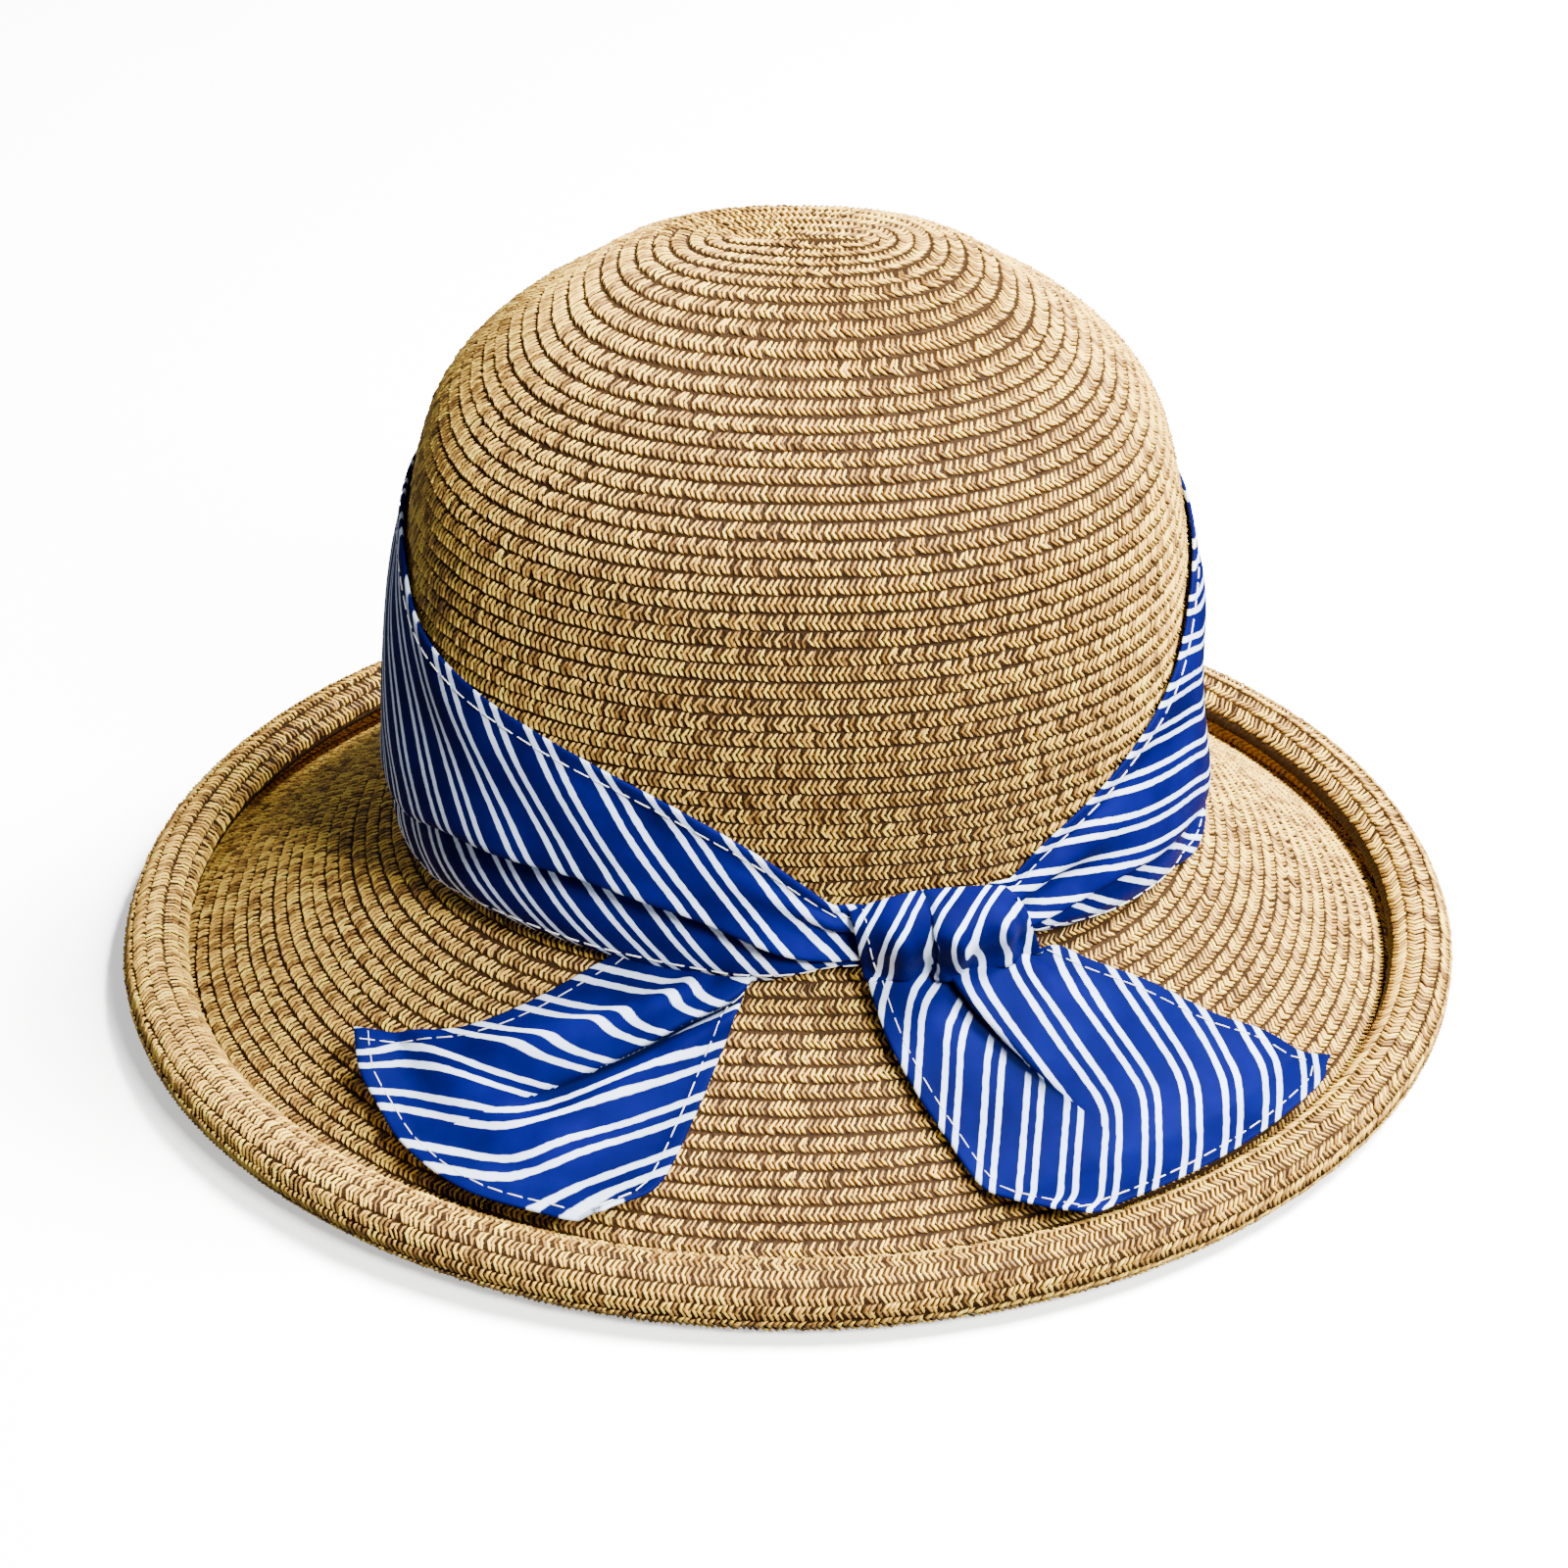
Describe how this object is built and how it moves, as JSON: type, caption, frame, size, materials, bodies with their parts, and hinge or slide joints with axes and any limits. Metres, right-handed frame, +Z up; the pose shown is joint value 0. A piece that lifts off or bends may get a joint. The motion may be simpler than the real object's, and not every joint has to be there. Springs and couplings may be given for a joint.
{
  "type": "straw hat with a tied scarf",
  "caption": "Sewn straw hat with a deep oval crown, a sloping brim rolled up at its edge, and a striped scarf knotted at the side.",
  "frame": {"origin": "on the floor, at the middle of the hat's outline seen from above", "axes": "+Z up through the crown, +X along the length of the oval, and the knot faces -Y"},
  "size_m": [0.3444, 0.3182, 0.1964],
  "materials": {
    "straw_crown": "golden straw braid, sewn in rows, with a soft sheen on each strand",
    "straw_brim": "golden straw braid, sewn in finer rows, rolled at the edge",
    "striped_cloth": "smooth royal blue cloth with pairs of narrow white stripes and a running stitch along the hem"
  },
  "bodies": {
    "root": {"crown": "straw_crown", "brim": "straw_brim", "scarf_band": "striped_cloth", "scarf_knot": "striped_cloth", "scarf_tail_right": "striped_cloth", "scarf_tail_left": "striped_cloth"}
  },
  "joints": []
}
